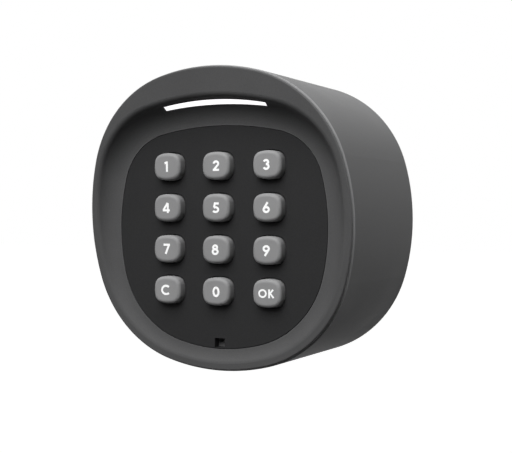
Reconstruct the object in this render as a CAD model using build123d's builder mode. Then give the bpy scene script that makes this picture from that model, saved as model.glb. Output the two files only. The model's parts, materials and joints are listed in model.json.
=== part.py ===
from build123d import *

import os
from math import atan2, cos, degrees, hypot, radians, sin, sqrt
from typing import NamedTuple

# A wall-mounted card reader with a twelve-key pad under a hood.
#
# The deep housing is screwed to the wall. A bezel with a concave dish and an overhanging
# hood closes its front, and the keypad module, which carries the electronics and the
# batteries, pushes into the bezel from the front and is prised out at the slot under its keys.
#
# Millimetres, +Z up, +X to the right as seen by the user, and the front faces -Y. The origin
# is the centre of the wall face. A height here is a distance out from the wall: the height h
# lies at y = -h. Outlines are drawn as seen from the front, in X and Z.


class Outline(NamedTuple):
    """A closed outline of eight tangent arcs, with its left half the mirror of its right."""

    half_width: float
    side_z: float
    side_radius: float
    top: float
    top_radius: float
    bottom: float
    bottom_radius: float
    upper_corner: float
    lower_corner: float

    def grown(self, by):
        """The same outline moved out by a distance, or in by a negative one."""
        return Outline(
            self.half_width + by,
            self.side_z,
            self.side_radius + by,
            self.top + by,
            self.top_radius + by,
            self.bottom - by,
            self.bottom_radius + by,
            self.upper_corner + by,
            self.lower_corner + by,
        )


# ---- drum: the outline that the housing and the bezel share ----
drum_width = 80.0
drum_height = 82.0
drum_side_radius = 60.0
drum_end_radius = 57.3     # of its top and its bottom
drum_corner_radius = 32.7

# ---- rim: the curved front edge of the drum ----
rim_height = 47.6          # rim over the wall at mid-height
hood_rise = 4.3            # how much further forward the rim stands at the top
chin_drop = 2.4            # how far it falls back at the bottom
rim_edge_radius = 0.4
housing_edge_radius = 0.5  # the housing's front edge, behind the rim
back_edge_radius = 0.8

# ---- keypad face ----
face_depth = 3.3           # how far the face lies behind the rim, at mid-height
face_side_margin = 8.3     # from the drum's outline in to the face
face_top_margin = 15.6
face_bottom_margin = 6.1
face_widest_z = -2.2
face_side_radius = 56.4
face_top_radius = 87.1
face_bottom_radius = 46.5
face_upper_corner = 16.0
face_lower_corner = 25.0
face_thickness = 2.0
face_gap = 0.15            # between the face panel and the bezel's opening
face_edge_radius = 0.1

# ---- dish round the face ----
dish_radius = 6.7          # the concave sweep from the dish floor up to the rim
dish_floor_width = 0.1     # flat floor beside the face panel
dish_floor_top_width = 0.7 # and above it
dish_top_radius = 71.3
dish_upper_corner = 17.6
lip_radius = 1.5

# ---- housing walls ----
side_wall = 2.4
back_wall = 2.6
front_lip = 1.0            # the thin wall that the bezel drops into
parting_gap = 0.2          # between that wall and the bezel
rim_thickness = 0.8        # of the bezel's rim, where it covers the wall's front edge
rim_gap = 0.2              # the groove left behind the rim
rim_inset = 0.35           # the drum's outline in to the rim's
gasket_thickness = 0.8
bezel_floor = 2.5          # thickness of the dish floor

# ---- housing posts and bezel screws ----
post_wall = 0.6            # around the screw head's bore
post_inset = 3.3           # from the housing's inner wall in to a post's axis
post_angle = 45.0          # where the posts stand on the wall's upper corners
post_web = 4.0             # what the screw head pulls on
boss_length = 4.8          # bezel boss behind the bezel's back
boss_wall = 1.3
bezel_screw_radius = 1.25
bezel_screw_grip = 5.5     # depth of the hole inside the bezel
bezel_head_radius = 2.2
bezel_head_height = 2.0
screw_clearance = 0.1
thread_clearance = 0.05
head_clearance = 0.2
screw_end_gap = 0.5        # left between a screw's end and its hole's
tongue_width = 12.0        # hooks the bezel's lower edge behind the housing wall
tongue_thickness = 1.2
tongue_gap = 0.5
tongue_back_length = 3.8
tongue_beak = 1.0
tongue_beak_height = 1.4
pocket_gap = 0.3

# ---- wall mounting ----
wall_spacing = 60.0        # screw spacing of a round wall box
wall_hole_radius = 2.25
wall_slot_length = 8.0
wall_gasket_inset = 2.2
wall_gasket_width = 2.0
wall_gasket_depth = 1.0
gasket_side_gap = 0.1

# ---- keys ----
key_names = (("1", "2", "3"), ("4", "5", "6"), ("7", "8", "9"), ("c", "0", "ok"))
key_width = 8.4
key_height = 7.6
key_side_radius = 9.0
key_corner_radius = 2.5
key_column_share = 0.2413  # spacing of the columns as a share of the face's width
key_row_share = 0.1874     # spacing of the rows as a share of the face's height
keypad_rise = 2.35         # from the face's middle up to the keypad's
key_rise = 2.5             # cap above the face panel
key_travel = 1.0
key_gap = 0.25
key_edge_radius = 1.0
hole_edge_radius = 0.15
key_flange_width = 0.9
key_flange_thickness = 0.8
key_flange_gap = 0.1
plunger_radius = 1.8

# ---- keymat, snap domes, board ----
collar_height = 2.0
collar_wall = 1.4
collar_taper = 12.0
keymat_hole_gap = 0.2      # round a snap dome
keymat_thickness = 0.8
dome_radius = 2.4
dome_height = 0.3
dome_taper = 55.0
dome_gap = 0.05            # left between plunger and dome at full travel
board_thickness = 1.6
board_gap = 0.25
antenna_gap = 0.1          # from the board's edge in to the coil
antenna_width = 1.3
antenna_height = 1.2
keymat_gap = 0.3

# ---- module frame ----
frame_gap = 0.35
frame_wall = 2.0
panel_tape = 0.3           # adhesive ring between frame and face panel
ledge_width = 1.6
ledge_height = 1.6
frame_length = 13.0
guide_wall = 1.5           # sleeve on the bezel that guides the module
guide_length = 11.5
seal_width = 1.6
seal_setback = 2.6         # from the frame's front edge to the seal
seal_groove_depth = 0.9
seal_gap = 0.05

# ---- release slot ----
release_slot_width = 3.25
release_slot_height = 2.8
release_slot_depth = 2.6

# ---- battery tray ----
tray_plate = 2.0
cell_radius = 8.4
cell_length = 33.0
cell_nub_radius = 3.2
cell_nub_length = 1.5
cell_edge_radius = 0.7
cell_web = 1.7             # between the two troughs
cell_gap = 0.35
cell_standoff = 0.25       # web left between a trough and the plate
cradle_lip = 4.0           # how far the cradle reaches behind the cells' axes
cradle_side_wall = 1.4
cradle_end_wall = 1.6
contact_thickness = 0.4
contact_radius = 6.5
spring_length = 3.7
spring_wire_radius = 0.35
spring_radius = 4.6
spring_turns = 3
spring_end_gap = 0.05
finger_cut_width = 14.0
finger_cut_depth = 5.0
tray_screw_radius = 1.2
tray_screw_length = 6.0
tray_head_radius = 2.2
tray_head_height = 1.2
tray_boss_wall = 1.45
tray_boss_overlap = 0.4    # how far a boss runs into the frame's wall
tray_screw_spacing = 11.0
board_screw_radius = 0.9
board_screw_grip = 6.0     # screw below the board's front
board_head_radius = 1.7
board_head_height = 0.7
board_post_wall = 1.25
stop_rib_thickness = 2.4
stop_rib_overlap = 4.35    # how far the ribs reach in under the tray plate
stop_rib_length = 20.0
stop_rib_angles = (32.0, 148.0, 212.0, 328.0)

# ---- light bar ----
light_upper_angle = 26.3   # on the dish's sweep, from its rim side
light_lower_angle = 43.2
light_bend_radius = 105.0  # of the bar's arc, where it stands over the dish floor's edge
light_side_margin = 24.2   # from the drum's side in to the window's end
light_recess = 0.05
light_depth = 2.6
light_gap = 0.1
light_guide_gap = 0.4      # between the lamps and the leg behind the bar
light_cavity_gap = 0.5
led_count = 5
led_size = (1.6, 2.2)
led_height = 0.7
led_row_inset = 3.55       # from the window's end in to the row of lamps' end
led_board_thickness = 1.2
led_board_width = 4.8
led_board_overlap = 3.95   # how far the board runs past the window's end
led_screw_inset = 1.35     # from the board's end in to its screw
led_screw_radius = 0.8
led_screw_length = 2.9
led_head_radius = 1.5
led_head_height = 0.8

# ---- small electronics on the back of the board: width, height and thickness ----
radio_width = 18.0
radio_thickness = 2.6
radio_corner_radius = 0.5
radio_top_gap = 2.0        # from the board's upper edge
radio_post_gap = 2.1       # from the board posts under it
chip_size = (8.0, 8.0, 1.2)
socket_size = (5.0, 8.0, 5.0)
buzzer_radius = 5.5
buzzer_height = 4.5
buzzer_hole_radius = 1.0
buzzer_floor = 1.0         # behind the sound hole
board_part_gap = 1.85      # from the buzzer and the socket to the bosses beside them

# ---- modelling ----
overrun = 10.0             # how far the cutting tools for the front run past it
cut_margin = 1.0           # how far a small cut runs past what it cuts
half_turn = 180.0
same_size = 0.01           # two radii this close are one size

# ---- heights that follow from the sizes above ----
front_limit = rim_height + hood_rise + overrun
face_height = rim_height - face_depth
face_back = face_height - face_thickness
bezel_back = face_height - bezel_floor
gasket_back = bezel_back - gasket_thickness
post_top = bezel_back - boss_length
bezel_head_front = post_top - post_web
key_top = face_height + key_rise
flange_front = face_back - key_flange_gap
flange_back = flange_front - key_flange_thickness
collar_back = flange_back - collar_height
board_front = collar_back - keymat_thickness
board_back = board_front - board_thickness
plunger_back = board_front + dome_height + dome_gap + key_travel
frame_front = face_back - panel_tape
frame_back = frame_front - frame_length
tray_back = frame_back - tray_plate
guide_back = bezel_back - guide_length
cell_height = tray_back - cell_standoff - cell_gap - cell_radius
cradle_back = cell_height - cradle_lip
led_board_back = bezel_back - led_board_thickness

# ---- outlines that follow ----
drum = Outline(
    drum_width / 2,
    0.0,
    drum_side_radius,
    drum_height / 2,
    drum_end_radius,
    -drum_height / 2,
    drum_end_radius,
    drum_corner_radius,
    drum_corner_radius,
)
face = Outline(
    drum.half_width - face_side_margin,
    face_widest_z,
    face_side_radius,
    drum.top - face_top_margin,
    face_top_radius,
    drum.bottom + face_bottom_margin,
    face_bottom_radius,
    face_upper_corner,
    face_lower_corner,
)
key = Outline(
    key_width / 2,
    0.0,
    key_side_radius,
    key_height / 2,
    key_side_radius,
    -key_height / 2,
    key_side_radius,
    key_corner_radius,
    key_corner_radius,
)
bezel_outline = drum.grown(-(front_lip + parting_gap))
rim_outline = drum.grown(-rim_inset)
housing_inside = drum.grown(-side_wall)
dish_floor = face.grown(dish_floor_width)._replace(
    top=face.top + dish_floor_top_width,
    top_radius=dish_top_radius,
    upper_corner=dish_upper_corner,
)
face_opening = face.grown(face_gap)
frame_outline = face.grown(-frame_gap)
frame_inside = frame_outline.grown(-frame_wall)
board_outline = frame_inside.grown(-board_gap)
antenna_outline = board_outline.grown(-antenna_gap)
keymat_outline = antenna_outline.grown(-(antenna_width + keymat_gap))

# ---- radii that follow ----
bezel_head_bore_radius = bezel_head_radius + head_clearance
post_radius = bezel_head_bore_radius + post_wall
boss_radius = bezel_screw_radius + thread_clearance + boss_wall
board_post_radius = board_screw_radius + thread_clearance + board_post_wall
tray_boss_radius = tray_screw_radius + thread_clearance + tray_boss_wall
keymat_hole_radius = dome_radius + keymat_hole_gap
collar_radius = keymat_hole_radius + collar_wall
sweep_height = face_height + dish_radius
light_arc_radius = light_bend_radius + dish_radius

# ---- places that follow ----
release_slot_size = (release_slot_width, release_slot_height)
release_slot_place = (0, face.bottom + release_slot_height / 2)
release_slot_back = face_height - release_slot_depth
seal_back = frame_front - seal_setback - seal_width
tray_screw_front = tray_back + tray_screw_length
face_middle_z = (face.top + face.bottom) / 2
key_pitch_x = 2 * face.half_width * key_column_share
key_pitch_z = (face.top - face.bottom) * key_row_share
key_centre_z = face_middle_z + keypad_rise
wall_hole_places = [(0, side * wall_spacing / 2) for side in (-1, 1)]
wall_slot_places = [(side * wall_spacing / 2, 0) for side in (-1, 1)]
tongue_outer_z = drum.bottom + side_wall + tongue_gap
tongue_place = (0, tongue_outer_z + tongue_thickness / 2)
tongue_back = bezel_back - tongue_back_length
beak_bottom_z = drum.bottom + side_wall - tongue_beak
beak_size = (tongue_width, tongue_outer_z + tongue_thickness - beak_bottom_z)
beak_place = (0, beak_bottom_z + beak_size[1] / 2)
board_screw_places = [
    (side * key_pitch_x / 2, key_centre_z + row * key_pitch_z) for row in (-1, 1) for side in (-1, 1)
]
tray_boss_x = frame_inside.half_width - tray_boss_radius + tray_boss_overlap
tray_screw_places = [
    (side * tray_boss_x, face_middle_z + row * tray_screw_spacing / 2) for row in (-1, 1) for side in (-1, 1)
]
stop_rib_inner = frame_outline.half_width - stop_rib_overlap
cell_pitch = 2 * (cell_radius + cell_gap) + cell_web
cell_bay_length = cell_length + cell_nub_length + spring_length + 2 * contact_thickness
cell_bay_bottom = face_middle_z - cell_bay_length / 2
cell_bay_top = face_middle_z + cell_bay_length / 2
cradle_half_width = cell_pitch / 2 + cell_radius + cell_gap + cradle_side_wall
cradle_height = cell_bay_length + 2 * cradle_end_wall
radio_top_z = board_outline.top - radio_top_gap
radio_bottom_z = key_centre_z + key_pitch_z + board_post_radius + radio_post_gap
radio_size = (radio_width, radio_top_z - radio_bottom_z)
radio_place = (0, (radio_top_z + radio_bottom_z) / 2)
chip_place = (0, key_centre_z)
board_part_side = tray_boss_x - tray_boss_radius - board_part_gap
socket_place = (socket_size[0] / 2 - board_part_side, key_centre_z)
buzzer_place = (board_part_side - buzzer_radius, key_centre_z)
light_axis_z = dish_floor.top - light_bend_radius
light_axis = Axis((0, 0, light_axis_z), (0, 1, 0))
light_length = 2 * (drum.half_width - light_side_margin)
led_row_length = light_length - 2 * led_row_inset
led_board_length = light_length + 2 * led_board_overlap
led_screw_spacing = led_board_length - 2 * led_screw_inset
light_spread = degrees(light_length / light_arc_radius)
gap_spread = degrees(light_gap / light_arc_radius)
cavity_spread = degrees(light_cavity_gap / light_arc_radius)
led_spread = degrees(led_row_length / light_arc_radius)
led_board_spread = degrees(led_board_length / light_arc_radius)
led_screw_spread = degrees(led_screw_spacing / light_arc_radius)
light_back = bezel_back + led_height + light_guide_gap
led_screw_front = led_board_back + led_screw_length


def front_plane(height, x=0.0, z=0.0):
    """The plane at a height over the wall, facing the user, with its X to the right and its Y up."""
    return Plane(origin=(x, -height, z), x_dir=(1, 0, 0), z_dir=(0, -1, 0))


def outline_arcs(shape):
    """List an outline's arcs, each as its centre, radius, first angle and swept angle."""
    side_centre = (shape.half_width - shape.side_radius, shape.side_z)
    ends = (
        (1, shape.top, shape.top_radius, shape.upper_corner),
        (-1, shape.bottom, shape.bottom_radius, shape.lower_corner),
    )
    arcs = []
    side_turns = []
    for up, end, end_radius, radius in ends:
        end_centre = (0, end - up * end_radius)
        step = (end_centre[0] - side_centre[0], end_centre[1] - side_centre[1])
        gap = hypot(*step)
        unit = (step[0] / gap, step[1] / gap)
        along = ((shape.side_radius - radius) ** 2 - (end_radius - radius) ** 2 + gap**2) / (2 * gap)
        across = up * sqrt((shape.side_radius - radius) ** 2 - along**2)
        corner = (
            side_centre[0] + along * unit[0] - across * unit[1],
            side_centre[1] + along * unit[1] + across * unit[0],
        )
        side_turn = degrees(atan2(corner[1] - side_centre[1], corner[0] - side_centre[0]))
        end_turn = degrees(atan2(corner[1] - end_centre[1], corner[0] - end_centre[0]))
        first, sweep = min(side_turn, end_turn), abs(end_turn - side_turn)
        arcs.append((corner, radius, first, sweep))
        arcs.append(((-corner[0], corner[1]), radius, half_turn - first - sweep, sweep))
        span = half_turn - 2 * abs(end_turn)
        arcs.append((end_centre, end_radius, (up * half_turn - span) / 2, span))
        side_turns.append(side_turn)
    upper, lower = side_turns
    arcs.append((side_centre, shape.side_radius, lower, upper - lower))
    arcs.append(((-side_centre[0], side_centre[1]), shape.side_radius, half_turn - upper, upper - lower))
    return arcs


def fill_outline(shape, mode=Mode.ADD):
    """Fill the open sketch with an outline."""
    with BuildSketch(mode=Mode.PRIVATE) as filled:
        with BuildLine():
            for centre, radius, first, sweep in outline_arcs(shape):
                CenterArc(centre, radius, first, sweep)
        make_face()
    add(filled.sketch_local, mode=mode)


def outline_block(shape, back, front, mode=Mode.ADD):
    """Add or cut a block with an outline, between two heights."""
    with BuildSketch(front_plane(back)) as section:
        fill_outline(shape)
    extrude(section.sketch, amount=front - back, mode=mode)


def outline_ring(outer, inner, back, front, mode=Mode.ADD):
    """Add or cut a ring between two outlines, between two heights."""
    with BuildSketch(front_plane(back)) as section:
        fill_outline(outer)
        fill_outline(inner, mode=Mode.SUBTRACT)
    extrude(section.sketch, amount=front - back, mode=mode)


def rods(places, radius, back, front, mode=Mode.ADD):
    """Add or cut round rods that stand on the wall's normal, between two heights."""
    with BuildSketch(front_plane(back)) as section:
        with Locations(*places):
            Circle(radius)
    extrude(section.sketch, amount=front - back, mode=mode)


def block(size, place, back, front, mode=Mode.ADD):
    """Add or cut a plain block, between two heights."""
    with BuildSketch(front_plane(back)) as section:
        with Locations(place):
            Rectangle(size[0], size[1])
    extrude(section.sketch, amount=front - back, mode=mode)


def key_grid(height, radius, amount, taper=0.0, mode=Mode.ADD):
    """Add or cut a round feature under each key."""
    with BuildSketch(front_plane(height, z=key_centre_z)) as section:
        with GridLocations(key_pitch_x, key_pitch_z, len(key_names[0]), len(key_names)):
            Circle(radius)
    extrude(section.sketch, amount=amount, taper=taper, mode=mode)


def key_places():
    """Each key's name and its centre, row by row from the top left."""
    for row, names in enumerate(key_names):
        z = key_centre_z + ((len(key_names) - 1) / 2 - row) * key_pitch_z
        for column, name in enumerate(names):
            yield name, (column - (len(names) - 1) / 2) * key_pitch_x, z


def rim_faces(part):
    """The faces that a part shares with the rim's curved surface."""
    return part.faces().filter_by(
        lambda f: f.geom_type == GeomType.CYLINDER and abs(f.radius - rim_radius) < same_size
    )


def sweep_point(angle, radius):
    """A point of a section of the dish's top sweep, as its height and its distance from the arc's axis."""
    return (
        sweep_height - radius * sin(radians(angle)),
        light_bend_radius + radius * cos(radians(angle)),
    )


def on_top_arc(angle, radius):
    """A place on an arc about the light bar's axis, at an angle from straight up."""
    return (radius * sin(radians(angle)), light_axis_z + radius * cos(radians(angle)))


def top_sector(spread, mode=Mode.ADD):
    """Turn the pending section about the light bar's axis, through an angle centred on the middle."""
    revolve(axis=light_axis, revolution_arc=spread, mode=mode)


def section_plane(spread):
    """The plane where such a turned section starts, with X as height and Y away from the arc's axis."""
    start = radians(-spread / 2)
    return Plane(origin=(0, 0, light_axis_z), x_dir=(0, -1, 0), z_dir=(-cos(start), 0, sin(start)))


def light_section(inner, outer, margin, leg_back):
    """Draw the light bar's section: a piece of the dish's sweep with a straight leg behind it."""
    upper = light_upper_angle - degrees(margin / dish_radius)
    lower = light_lower_angle + degrees(margin / dish_radius)
    corners = [
        sweep_point(upper, inner),
        sweep_point(upper, outer),
        (leg_back, sweep_point(upper, outer)[1]),
        (leg_back, sweep_point(lower, outer)[1]),
        sweep_point(lower, outer),
        sweep_point(lower, inner),
    ]
    with BuildSketch(mode=Mode.PRIVATE) as section:
        with BuildLine():
            Polyline(*corners)
            ThreePointArc(corners[-1], sweep_point((upper + lower) / 2, inner), corners[0])
        make_face()
    add(section.sketch_local)


def finish(name, builder):
    """Label a finished piece and write its file."""
    builder.part.label = name
    export_step(builder.part, f"parts/{name}.step")


os.makedirs("parts", exist_ok=True)

# ---- places along the light bar ----
light_outer = sweep_point(light_upper_angle, dish_radius + light_depth)
light_inner = sweep_point(light_lower_angle, dish_radius + light_depth)
lamp_radius = (light_outer[1] + light_inner[1]) / 2
cavity_corners = (
    (bezel_back - cut_margin, light_inner[1] - light_cavity_gap),
    (light_inner[0] - light_cavity_gap, light_inner[1] - light_cavity_gap),
    (light_outer[0] - light_cavity_gap, light_outer[1]),
    (light_outer[0] - light_cavity_gap, light_outer[1] + light_cavity_gap),
    (bezel_back - cut_margin, light_outer[1] + light_cavity_gap),
)
led_screw_places = [on_top_arc(side * led_screw_spread / 2, lamp_radius) for side in (-1, 1)]

# ---- posts at the housing's upper corners ----
corner_centre, corner_radius = outline_arcs(housing_inside)[0][:2]
post_reach = corner_radius - post_inset
post_x = corner_centre[0] + post_reach * cos(radians(post_angle))
post_z = corner_centre[1] + post_reach * sin(radians(post_angle))
post_places = [(-post_x, post_z), (post_x, post_z)]

# ---- cutting tools ----
with BuildPart() as rim_cutter:
    with BuildSketch(Plane.YZ):
        with BuildLine():
            rim_arc = ThreePointArc(
                (-(rim_height + hood_rise), drum.top),
                (-rim_height, 0),
                (-(rim_height - chin_drop), drum.bottom),
            )
            rim_top = Line(rim_arc @ 0, rim_arc @ 0 - rim_arc % 0 * overrun)
            rim_chin = Line(rim_arc @ 1, rim_arc @ 1 + rim_arc % 1 * overrun)
            Polyline(
                rim_top @ 1,
                (-front_limit - overrun, (rim_top @ 1).Y),
                (-front_limit - overrun, (rim_chin @ 1).Y),
                rim_chin @ 1,
            )
        make_face()
    extrude(amount=drum.half_width + overrun, both=True)
rim_radius = rim_arc.radius

with BuildPart() as dish_cutter:
    outline_block(dish_floor.grown(dish_radius), face_height, front_limit)
    fillet(dish_cutter.faces().sort_by(Axis.Y)[-1].edges(), radius=dish_radius)

# ---- housing: a deep drum with a closed back ----
with BuildPart() as housing:
    outline_block(drum, 0, front_limit)
    add(rim_cutter.part.moved(Location((0, rim_thickness + rim_gap, 0))), mode=Mode.SUBTRACT)
    fillet(rim_faces(housing).edges(), radius=housing_edge_radius)
    fillet(housing.faces().sort_by(Axis.Y)[-1].edges(), radius=back_edge_radius)
    outline_block(housing_inside, back_wall, front_limit, mode=Mode.SUBTRACT)
    outline_block(drum.grown(-front_lip), gasket_back, front_limit, mode=Mode.SUBTRACT)
    with BuildSketch(front_plane(back_wall)):
        for angle in stop_rib_angles:
            reach = stop_rib_inner + stop_rib_length / 2
            with Locations((reach * cos(radians(angle)), reach * sin(radians(angle)))):
                Rectangle(stop_rib_length, stop_rib_thickness, rotation=angle)
        fill_outline(drum.grown(-side_wall / 2), mode=Mode.INTERSECT)
    extrude(amount=tray_back - back_wall)
    with BuildSketch(front_plane(back_wall)):
        with Locations(*post_places):
            Circle(post_radius)
        fill_outline(drum.grown(-side_wall / 2), mode=Mode.INTERSECT)
    extrude(amount=post_top - back_wall)
    block(
        (beak_size[0] + 2 * pocket_gap, beak_size[1] + 2 * pocket_gap),
        beak_place,
        tongue_back - pocket_gap,
        tongue_back + tongue_beak_height + pocket_gap,
        mode=Mode.SUBTRACT,
    )
    rods(post_places, bezel_head_bore_radius, 0, bezel_head_front, mode=Mode.SUBTRACT)
    rods(post_places, bezel_screw_radius + screw_clearance, 0, post_top, mode=Mode.SUBTRACT)
    outline_ring(
        drum.grown(-wall_gasket_inset),
        drum.grown(-wall_gasket_inset - wall_gasket_width),
        0,
        wall_gasket_depth,
        mode=Mode.SUBTRACT,
    )
    rods(wall_hole_places, wall_hole_radius, 0, back_wall, mode=Mode.SUBTRACT)
    with BuildSketch(front_plane(0)):
        with Locations(*wall_slot_places):
            SlotOverall(wall_slot_length, 2 * wall_hole_radius)
    extrude(amount=back_wall, mode=Mode.SUBTRACT)
finish("housing", housing)

with BuildPart() as wall_gasket:
    outline_ring(
        drum.grown(-wall_gasket_inset - gasket_side_gap),
        drum.grown(-wall_gasket_inset - wall_gasket_width + gasket_side_gap),
        0,
        wall_gasket_depth,
    )
finish("wall_gasket", wall_gasket)

with BuildPart() as bezel_gasket:
    outline_ring(bezel_outline, housing_inside, gasket_back, bezel_back)
finish("bezel_gasket", bezel_gasket)

# ---- front bezel: concave dish, hood, guide sleeve and screw bosses ----
with BuildPart() as dish_blank:
    outline_block(drum, bezel_back, front_limit)
    add(rim_cutter.part, mode=Mode.SUBTRACT)
    add(dish_cutter.part, mode=Mode.SUBTRACT)
    fillet(rim_faces(dish_blank)[0].inner_wires()[0].edges(), radius=lip_radius)

with BuildPart() as skirt_cutter:
    outline_ring(drum.grown(cut_margin), bezel_outline, bezel_back, front_limit)
    add(rim_cutter.part.moved(Location((0, rim_thickness, 0))), mode=Mode.SUBTRACT)

with BuildPart() as front_bezel:
    outline_block(rim_outline, bezel_back, front_limit)
    add(rim_cutter.part, mode=Mode.SUBTRACT)
    fillet(rim_faces(front_bezel).edges(), radius=rim_edge_radius)
    add(skirt_cutter.part, mode=Mode.SUBTRACT)
    add(dish_blank.part, mode=Mode.INTERSECT)
    outline_block(face_opening.grown(guide_wall), guide_back, bezel_back)
    outline_block(face_opening, guide_back, front_limit, mode=Mode.SUBTRACT)
    rods(post_places, boss_radius, post_top, bezel_back)
    block((tongue_width, tongue_thickness), tongue_place, tongue_back, bezel_back)
    block(beak_size, beak_place, tongue_back, tongue_back + tongue_beak_height)
    rods(
        post_places,
        bezel_screw_radius + thread_clearance,
        post_top,
        post_top + bezel_screw_grip,
        mode=Mode.SUBTRACT,
    )
    with BuildSketch(section_plane(light_spread + 2 * gap_spread)):
        light_section(dish_radius - cut_margin, dish_radius + light_depth, light_gap, light_back)
    top_sector(light_spread + 2 * gap_spread, mode=Mode.SUBTRACT)
    with BuildSketch(section_plane(light_spread + 2 * cavity_spread)):
        with BuildLine():
            Polyline(*cavity_corners, close=True)
        make_face()
    top_sector(light_spread + 2 * cavity_spread, mode=Mode.SUBTRACT)
    rods(
        led_screw_places,
        led_screw_radius + thread_clearance,
        bezel_back,
        led_screw_front + screw_end_gap,
        mode=Mode.SUBTRACT,
    )
finish("front_bezel", front_bezel)

with BuildPart() as bezel_screws:
    rods(post_places, bezel_head_radius, bezel_head_front - bezel_head_height, bezel_head_front)
    rods(post_places, bezel_screw_radius, bezel_head_front, post_top + bezel_screw_grip - screw_end_gap)
finish("bezel_screws", bezel_screws)

# ---- light bar and its lamps ----
with BuildPart() as light_bar:
    with BuildSketch(section_plane(light_spread)):
        light_section(dish_radius + light_recess, dish_radius + light_depth, 0, light_back)
    top_sector(light_spread)
finish("light_bar", light_bar)

with BuildPart() as led_board:
    with BuildSketch(section_plane(led_board_spread)):
        with Locations((led_board_back + led_board_thickness / 2, lamp_radius)):
            Rectangle(led_board_thickness, led_board_width)
    top_sector(led_board_spread)
    rods(
        led_screw_places,
        led_screw_radius + screw_clearance,
        led_board_back,
        bezel_back,
        mode=Mode.SUBTRACT,
    )
finish("led_board", led_board)

with BuildPart() as lamps:
    with BuildSketch(front_plane(bezel_back, z=light_axis_z)):
        with PolarLocations(lamp_radius, led_count, (half_turn - led_spread) / 2, led_spread, endpoint=True):
            Rectangle(*led_size)
    extrude(amount=led_height)
finish("lamps", lamps)

with BuildPart() as led_screws:
    rods(led_screw_places, led_head_radius, led_board_back - led_head_height, led_board_back)
    rods(led_screw_places, led_screw_radius, led_board_back, led_screw_front)
finish("led_screws", led_screws)

# ---- face panel ----
with BuildPart() as face_panel:
    outline_block(face, face_back, face_height)
    fillet(face_panel.faces().sort_by(Axis.Y)[0].edges(), radius=face_edge_radius)
    for name, x, z in key_places():
        with BuildSketch(front_plane(face_back, x, z)):
            fill_outline(key.grown(key_gap))
        extrude(amount=face_thickness, mode=Mode.SUBTRACT)
    fillet(face_panel.faces().sort_by(Axis.Y)[0].inner_wires().edges(), radius=hole_edge_radius)
    block(release_slot_size, release_slot_place, face_back, face_height, mode=Mode.SUBTRACT)
finish("face_panel", face_panel)

# ---- keys: a cap, the flange that keeps it behind the panel, and a plunger ----
for name, x, z in key_places():
    with BuildPart() as key_cap:
        with BuildSketch(front_plane(flange_back, x, z)):
            fill_outline(key.grown(key_flange_width))
        extrude(amount=key_flange_thickness)
        with BuildSketch(front_plane(flange_front, x, z)):
            fill_outline(key)
        extrude(amount=key_top - flange_front)
        fillet(key_cap.faces().sort_by(Axis.Y)[0].edges(), radius=key_edge_radius)
        with BuildSketch(front_plane(plunger_back, x, z)):
            Circle(plunger_radius)
        extrude(amount=flange_back - plunger_back)
    finish(f"key_{name}", key_cap)

# ---- keymat, snap domes and circuit board ----
with BuildPart() as keymat:
    outline_block(keymat_outline, board_front, collar_back)
    key_grid(collar_back, collar_radius, collar_height, taper=collar_taper)
    key_grid(board_front, keymat_hole_radius, flange_back - board_front, mode=Mode.SUBTRACT)
    rods(
        board_screw_places,
        board_head_radius + head_clearance,
        board_front,
        collar_back,
        mode=Mode.SUBTRACT,
    )
finish("keymat", keymat)

with BuildPart() as snap_domes:
    key_grid(board_front, dome_radius, dome_height, taper=dome_taper)
finish("snap_domes", snap_domes)

with BuildPart() as circuit_board:
    outline_block(board_outline, board_back, board_front)
    rods(
        board_screw_places,
        board_screw_radius + screw_clearance,
        board_back,
        board_front,
        mode=Mode.SUBTRACT,
    )
finish("circuit_board", circuit_board)

with BuildPart() as antenna_coil:
    outline_ring(
        antenna_outline,
        antenna_outline.grown(-antenna_width),
        board_front,
        board_front + antenna_height,
    )
finish("antenna_coil", antenna_coil)

with BuildPart() as radio_module:
    block(radio_size, radio_place, board_back - radio_thickness, board_back)
    fillet(radio_module.edges().filter_by(Axis.Y), radius=radio_corner_radius)
finish("radio_module", radio_module)

with BuildPart() as processor:
    block(chip_size, chip_place, board_back - chip_size[2], board_back)
finish("processor", processor)

with BuildPart() as battery_socket:
    block(socket_size, socket_place, board_back - socket_size[2], board_back)
finish("battery_socket", battery_socket)

with BuildPart() as buzzer:
    rods([buzzer_place], buzzer_radius, board_back - buzzer_height, board_back)
    rods(
        [buzzer_place],
        buzzer_hole_radius,
        board_back - buzzer_height,
        board_back - buzzer_floor,
        mode=Mode.SUBTRACT,
    )
finish("buzzer", buzzer)

with BuildPart() as board_screws:
    rods(board_screw_places, board_head_radius, board_front, board_front + board_head_height)
    rods(board_screw_places, board_screw_radius, board_front - board_screw_grip, board_front)
finish("board_screws", board_screws)

# ---- module frame, its seal and the tape that holds the face panel ----
with BuildPart() as module_frame:
    outline_ring(frame_outline, frame_inside, frame_back, frame_front)
    outline_ring(
        frame_inside.grown(frame_wall / 2),
        frame_inside.grown(-ledge_width),
        board_back - ledge_height,
        board_back,
    )
    rods(tray_screw_places, tray_boss_radius, frame_back, board_back)
    rods(
        tray_screw_places,
        tray_screw_radius + thread_clearance,
        frame_back,
        tray_screw_front,
        mode=Mode.SUBTRACT,
    )
    outline_ring(
        frame_outline.grown(cut_margin),
        frame_outline.grown(-seal_groove_depth),
        seal_back,
        seal_back + seal_width,
        mode=Mode.SUBTRACT,
    )
    block(release_slot_size, release_slot_place, release_slot_back, frame_front, mode=Mode.SUBTRACT)
finish("module_frame", module_frame)

with BuildPart() as module_seal:
    outline_ring(
        face_opening.grown(-seal_gap),
        frame_outline.grown(-seal_groove_depth),
        seal_back,
        seal_back + seal_width,
    )
finish("module_seal", module_seal)

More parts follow.
